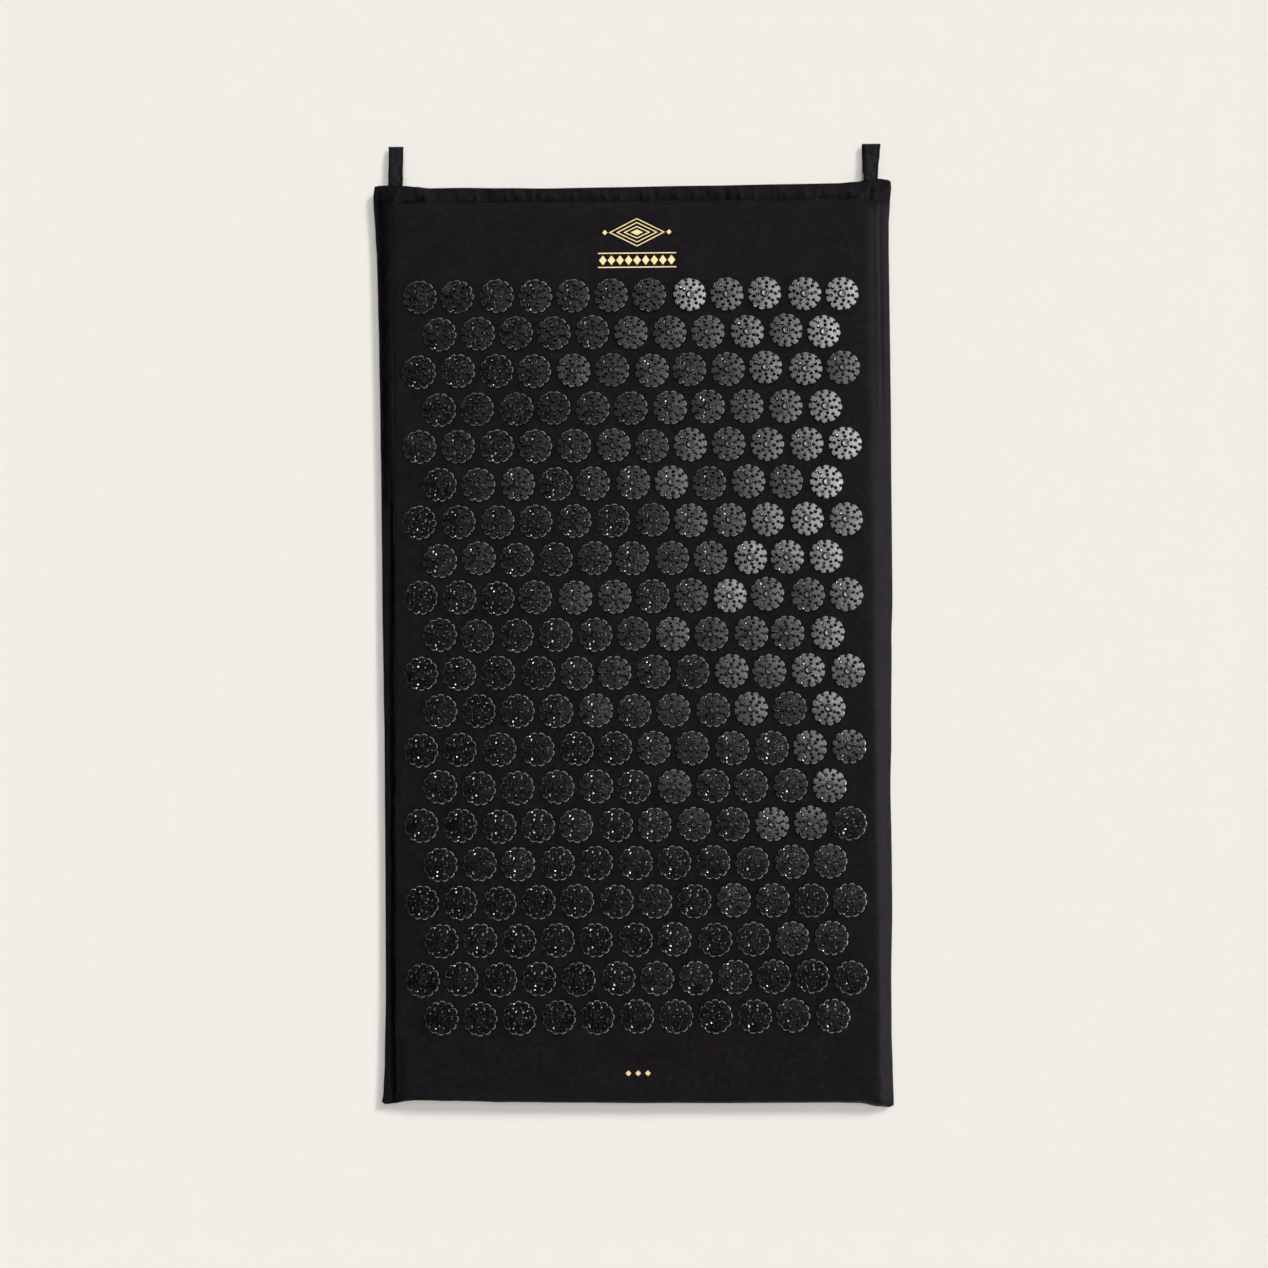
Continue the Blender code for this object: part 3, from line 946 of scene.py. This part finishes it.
def petal_share(place):
    """Share of the way round from one petal's middle to the next."""
    turn = math.atan2(place.y, place.x) / math.tau * PETAL_COUNT
    return turn % 1.0


def dome_height(radius):
    """Height of the plate's upper side at a distance from its middle."""
    share = float(np.interp(radius, (0.46 * DISC_RADIUS, 0.93 * DISC_RADIUS), (1.0, 0.0)))
    return PLATE_EDGE + RIM_RISE + DOME_RISE * share


def build_spike():
    """One spike: a slim cone with a flat tip that slants outwards."""
    deselect()
    bpy.ops.mesh.primitive_circle_add(vertices=SPIKE_SIDES, radius=SPIKE_RADIUS, fill_type="NGON")
    spike = named("spike")
    edit_all()
    for rise, factor in SPIKE_STEPS:
        bpy.ops.mesh.extrude_region_move(TRANSFORM_OT_translate={"value": (0, 0, rise)})
        widen(factor)
    slant = -math.radians(SPIKE_SLANT)
    bpy.ops.transform.rotate(value=slant, orient_axis="Y", center_override=(0, 0, SPIKE_LENGTH))
    leave_edit()
    return smooth(spike, 50)


def build_middle():
    """The raised ring in the middle of the disc, with a shallow dish inside it."""
    bpy.ops.mesh.primitive_circle_add(vertices=18, radius=RING_RADIUS, fill_type="NGON",
                                      location=(0, 0, dome_height(0.0) - 0.0001))
    middle = settle(named("middle"))
    edit_all()
    for factor, rise in RING_STEPS:
        step_in(factor, rise)
    leave_edit()
    return smooth(middle, 32)


def build_disc():
    """One whole disc, its underside at height 0."""
    plate = build_plate()
    spike = build_spike()
    pieces = [plate]
    for count, radius, offset_share, width in SPIKE_RINGS:
        for index in range(count):
            turn = (index + offset_share) * math.tau / count
            one = copy_of(spike, "one_spike")
            one.location = (radius * math.cos(turn), radius * math.sin(turn), dome_height(radius) - 0.0003)
            one.rotation_euler = (0, math.radians(3), turn)
            one.scale = (width, width, 1)
            pieces.append(one)
    bpy.data.objects.remove(spike)
    pieces.append(build_middle())
    for piece in pieces[1:]:
        settle(piece)
    return join(pieces, "whole_disc")


def build_disc_rows(plastic):
    """One piece for each row, its discs turned, tilted and shifted a little by chance."""
    disc = build_disc()
    give(disc, plastic)
    for row in range(1, ROW_COUNT + 1):
        node = "disc_row_%02d" % row
        low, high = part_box(node)
        count = round((high.x - low.x - 2 * DISC_RADIUS) / DISC_PITCH) + 1
        middle_y = (low.y + high.y) / 2
        discs = []
        for place in range(count):
            one = copy_of(disc, "one_disc")
            tilt_x = random_discs.gauss(0, TILT_SPREAD)
            tilt_y = random_discs.gauss(0, TILT_SPREAD)
            x = (place - (count - 1) / 2) * DISC_PITCH + random_discs.gauss(0, 0.00045)
            y = middle_y + random_discs.gauss(0, 0.00035)
            lift = DISC_RADIUS * min(math.hypot(tilt_x, tilt_y), 0.04) * 0.5
            one.location = (x, y, DISC_SEAT - 0.00035 + lift)
            one.rotation_euler = (tilt_x, tilt_y, 0)
            one.rotation_euler.rotate_axis("Z", random_discs.uniform(0, math.tau))
            discs.append(one)
        piece = join(discs, "spiked_discs_%02d" % row)
        settle(piece)
        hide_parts(node)
        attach(piece, "mat")
    bpy.data.objects.remove(disc)


# Print


def size_figure(width, height):
    """Give the flat figure that was just added its size."""
    item = named("figure")
    item.scale = (width, height, 1)
    return settle(item)


def build_lozenge(x, y, width, height):
    """A flat filled diamond."""
    bpy.ops.mesh.primitive_circle_add(vertices=4, radius=0.5, fill_type="NGON", location=(x, y, 0))
    return size_figure(width, height)


def build_frame_lozenge(x, y, width, height):
    """A diamond drawn as a line."""
    item = build_lozenge(x, y, width, height)
    edit_all()
    bpy.ops.mesh.inset(thickness=0.0008, depth=0)
    bpy.ops.mesh.delete(type="FACE")
    leave_edit()
    return item


def build_bar(x, y, width, height):
    """A thin straight line."""
    bpy.ops.mesh.primitive_plane_add(size=1, location=(x, y, 0))
    return size_figure(width, height)


def lay_print(items, name, material):
    """Join flat figures, give them a skin's thickness and lay them on the cloth."""
    item = join(items, name)
    edit_all()
    bpy.ops.mesh.subdivide(number_cuts=3)
    leave_edit()
    for vert in item.data.vertices:
        vert.co.z = cloth_top(vert.co.x, vert.co.y) + PRINT_LIFT
    skin = item.modifiers.new("skin", "SOLIDIFY")
    skin.thickness = 0.00008
    skin.offset = 0.0
    apply(item, "skin")
    give(item, material)
    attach(item, "mat")


def build_prints(gold):
    """Plain geometric figures in gold: nested diamonds over a band of lozenges, and three small ones."""
    deselect()
    x, y = HEAD_PRINT
    diamond_y = y + DIAMOND_RISE
    band_y = y - BAND_DROP
    items = []
    for width, height in ((0.046, 0.0235), (0.034, 0.0170), (0.022, 0.0105)):
        items.append(build_frame_lozenge(x, diamond_y, width, height))
    items.append(build_lozenge(x, diamond_y, 0.0100, 0.0048))
    for side in (-1, 1):
        items.append(build_lozenge(x + side * 0.0262, diamond_y, 0.0042, 0.0042))
        items.append(build_bar(x, band_y + side * 0.0058, 0.064, 0.0009))
    for step in range(-4, 5):
        items.append(build_lozenge(x + step * 0.0070, band_y, 0.0062, 0.0080))
    lay_print(items, "head_print", gold)
    x, y = FOOT_PRINT
    items = [build_lozenge(x + step * 0.0078, y, 0.0046, 0.0046) for step in (-1, 0, 1)]
    lay_print(items, "foot_print", gold)


# Hanging loops


def loop_line(low, high, root_y):
    """Middle line of the tape once round the loop, as (along, height) from the hinge line."""
    radius = (LOOP_GAP + TAPE_THICKNESS) / 2
    reach = high.y - TAPE_THICKNESS / 2 - root_y
    opening = reach * LOOP_OPEN_SHARE
    droop = SEAM_HEIGHT - low.z - radius - TAPE_THICKNESS / 2
    half_root = 0.0008
    upper = []
    for step in range(15):
        share = step / 14
        upper.append((opening * share, half_root + (radius - half_root) * smoothstep(share)))
    for step in range(1, 5):
        upper.append((opening + (reach - radius - opening) * step / 5, radius))
    for step in range(6):
        turn = step * math.pi / 12
        upper.append((reach - radius + radius * math.sin(turn), radius * math.cos(turn)))
    lower = [(along_y, -height) for along_y, height in reversed(upper)]
    line = upper + [(reach, 0.0)] + lower
    return [(a, h - droop * smoothstep(a / opening)) for a, h in line]


def build_loop(node, body, centre_x, tape, stretch, flare, lean):
    """One loop of flat tape, swept along its middle line, with a crease across it and soft edges."""
    low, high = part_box(node)
    root_y = low.y + 0.0014
    line = [(-0.0008, 0.0)] + loop_line(low, high, root_y)
    deselect()
    bpy.ops.mesh.primitive_circle_add(vertices=len(line), radius=0.01, fill_type="NOTHING")
    loop = named(body + "_tape")
    for vert, (along_y, height) in zip(loop.data.vertices, line):
        vert.co = Vector((-0.5, along_y, height))
    enter_edit()
    bpy.ops.mesh.select_mode(type="VERT")
    bpy.ops.mesh.select_all(action="SELECT")
    strips = 6
    for _ in range(strips):
        bpy.ops.mesh.extrude_region_move(TRANSFORM_OT_translate={"value": (1 / strips, 0, 0)})
    bpy.ops.mesh.select_all(action="SELECT")
    bpy.ops.mesh.normals_make_consistent(inside=False)
    leave_edit()
    lay_tape(loop, len(line), strips)
    for vert in loop.data.vertices:
        across, along_y, height = vert.co
        along_y *= 1 + stretch
        end_share = max(along_y, 0.0) / (high.y - root_y)
        width = TAPE_WIDTH * (1 + flare * end_share ** 2)
        ply_shift = -0.0007 if height < LOWER_PLY else 0.0
        wobble = 0.0003 * waviness(centre_x * 50, 1, along_y, 0.006, height / 0.004)
        vert.co.x = centre_x + across * width + lean * end_share + ply_shift + wobble
        vert.co.y = root_y + along_y
        curl = 0.0004 * (2 * abs(across)) ** 3 * (1 if height > LOWER_PLY else -1)
        vert.co.z = max(SEAM_HEIGHT + height - curl + 0.5 * wobble, TAPE_THICKNESS / 2 + 0.0001)
    wall = loop.modifiers.new("tape", "SOLIDIFY")
    wall.thickness = TAPE_THICKNESS
    wall.offset = 0.0
    rounding = loop.modifiers.new("edges", "BEVEL")
    rounding.width = 0.0002
    rounding.segments = 2
    rounding.limit_method = "ANGLE"
    rounding.angle_limit = math.radians(50)
    apply(loop, "tape", "edges")
    give(loop, tape)
    smooth(loop, 50)
    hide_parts(node)
    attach(loop, body)
def lay_tape(loop, line_count, strips):
    """Cloth coordinates in metres: across the tape and once round the loop."""
    places = get_places(loop)
    order = np.round((places[:, 0] + 0.5) * strips).astype(int)
    first = places[:line_count]
    steps = np.linalg.norm(np.diff(first, axis=0, append=first[:1]), axis=1)
    run = np.concatenate([[0.0], np.cumsum(steps)[:-1]])
    nearest = np.array([np.argmin(np.abs(first[:, 1] - p[1]) + np.abs(first[:, 2] - p[2])) for p in places])
    flat = np.stack([order / strips * TAPE_WIDTH, run[nearest]], axis=1)
    write_coordinates(loop, loop.data.uv_layers.new(name="cloth"), flat)


# Sewing thread


def build_stitch():
    """One stitch: a short rounded thread that dips at both ends."""
    deselect()
    bpy.ops.mesh.primitive_cylinder_add(vertices=6, radius=0.00022, depth=STITCH_LENGTH,
                                        rotation=(0, math.pi / 2, 0))
    stitch = settle(named("stitch"))
    choose(stitch, "polygons", lambda face: abs(face.normal.x) > 0.9)
    bpy.ops.mesh.inset(thickness=0.00008, depth=0)
    leave_edit()
    for vert in stitch.data.vertices:
        share = abs(vert.co.x) / (STITCH_LENGTH / 2)
        vert.co.z -= 0.00018 * share ** 2
    return smooth(stitch, 60)


def build_stitches(thread):
    """The row of stitches in the hem's groove and a bar of stitches under each loop."""
    stitch = build_stitch()
    placed = []
    start = along(LEFT_EDGE, FLAT_LOOP) + 0.004
    end = along(RIGHT_EDGE, FLAT_LOOP) - 0.004
    for step in range(int((end - start) / STITCH_PITCH)):
        x = start + (step + 0.5) * STITCH_PITCH
        share = HEM_LINE / (along(LOOP_EDGE, x) - FLAT_LOOP)
        placed.append((x, FLAT_LOOP + HEM_LINE, 0.0, max(share, 0.3)))
    for centre in LOOP_CENTRES:
        for step in range(5):
            placed.append((centre, FLAT_LOOP + 0.0112 + 0.0011 * step, 0.12 * (-1) ** step, 0.4))
    items = []
    for x, y, turn, share in placed:
        one = copy_of(stitch, "one_stitch")
        side_share = min((x - along(LEFT_EDGE, y)) / 0.015, (along(RIGHT_EDGE, y) - x) / 0.015, 1.0)
        one.location = (x, y, top_height(x, y, side_share, share) + 0.00012)
        one.rotation_euler = (0, 0, turn)
        if turn:
            one.scale.x = 2.6
        items.append(one)
    bpy.data.objects.remove(stitch)
    row = join(items, "hem_stitches")
    settle(row)
    give(row, thread)
    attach(row, "mat")


# Floor, light and camera


def build_floor():
    """Plain pale floor."""
    deselect()
    bpy.ops.mesh.primitive_plane_add(size=16, location=(0, 0, 0))
    floor = named("floor")
    material, tree, shader = new_material("pale_floor")
    set_inputs(tree, shader, {
        "Base Color": (*FLOOR_COLOUR, 1.0),
        "Roughness": 0.9,
        "Specular IOR Level": 0.0,
    })
    give(floor, material)


def link_new(name, data):
    """A new object in the scene for this lamp or lens."""
    item = bpy.data.objects.new(name, data)
    bpy.context.collection.objects.link(item)
    return item


def add_sun(name, azimuth, zenith, strength, spread_degrees, diffuse=True):
    """A distant lamp with a soft edge that lights the colour or the gloss alone. Angles are in degrees."""
    lamp = bpy.data.lights.new(name, "SUN")
    lamp.energy = strength
    lamp.angle = math.radians(spread_degrees)
    item = link_new(name, lamp)
    turn = math.radians(azimuth)
    lean = math.radians(zenith)
    way = Vector((math.sin(lean) * math.cos(turn), math.sin(lean) * math.sin(turn), math.cos(lean)))
    item.location = way * 3.0
    item.rotation_euler = way.to_track_quat("Z", "Y").to_euler()
    item.visible_diffuse = diffuse
    item.visible_glossy = not diffuse


def add_softbox(name, centre, size, strength):
    """A panel above the mat that only glossy surfaces see. Strength is its brightness."""
    lamp = bpy.data.lights.new(name, "AREA")
    lamp.shape = "RECTANGLE"
    lamp.size, lamp.size_y = size
    lamp.energy = strength * math.pi * size[0] * size[1]
    item = link_new(name, lamp)
    item.location = centre
    item.visible_diffuse = False
    item.visible_camera = False


def build_light():
    """Soft key from the upper right and from above, and lamps, panels and walls seen in the gloss."""
    add_sun("key", 45, 45.8, 1.80, 16)
    add_sun("overhead", 45, 3, 1.55, 34)
    add_sun("glint_upper", 120, 40, 2.00, 10, diffuse=False)
    add_sun("glint_lower", 243, 40, 2.00, 10, diffuse=False)
    add_sun("low_window", 0, 86, 8.0, 34, diffuse=False)
    add_softbox("right_panel", (0.53, 0.62, 2.0), (0.33, 1.20), 19.0)
    add_softbox("wide_panel", (0.55, 0.50, 2.6), (1.4, 1.8), 0.20)
    world = bpy.data.worlds.new("studio")
    bpy.context.scene.world = world
    world.use_nodes = True
    tree = world.node_tree
    path = add_node(tree, "LightPath")
    way = add_node(tree, "SeparateXYZ", {0: add_node(tree, "TexCoord").outputs["Generated"]})
    rising = spread(tree, way.outputs[2], 0.18, 0.32)
    falling = spread(tree, way.outputs[2], 0.64, 0.54)
    left_dimmed = spread(tree, way.outputs[0], -0.75, -0.1, 0.8, 5.0)
    walls = product(tree, calculate(tree, "MINIMUM", rising, falling), left_dimmed)
    horizon = calculate(tree, "ADD", walls, 0.015)
    colour = mix_colours(tree, path.outputs["Is Glossy Ray"], (0.12, 0.12, 0.12), horizon)
    colour = mix_colours(tree, path.outputs["Is Camera Ray"], colour, FLOOR_COLOUR)
    set_inputs(tree, tree.nodes["Background"], {"Color": colour, "Strength": 1.0})


def build_camera():
    """Camera nearly straight above the mat, as in the photograph."""
    lens = bpy.data.cameras.new("camera")
    lens.lens = 70
    lens.sensor_width = 36
    camera = link_new("camera", lens)
    camera.location = (0.0140, -0.1250, 2.0149)
    camera.rotation_euler = (math.radians(3.209), math.radians(0.424), math.radians(-0.504))
    bpy.context.scene.camera = camera


def main():
    """Build every piece of the mat, then the floor, the light and the camera."""
    cotton = make_cotton()
    tape = make_tape()
    build_cover(cotton)
    build_foam(make_foam())
    build_disc_rows(make_plastic())
    build_prints(make_gold_print())
    build_loop("hanging_loop_left", "loop_left", LOOP_CENTRES[0], tape,
               stretch=0.055, flare=0.02, lean=0.0003)
    build_loop("hanging_loop_right", "loop_right", LOOP_CENTRES[1], tape,
               stretch=0.004, flare=0.24, lean=0.0018)
    build_stitches(make_thread())
    build_floor()
    build_light()
    build_camera()
    bpy.context.scene.view_settings.view_transform = "Standard"


main()
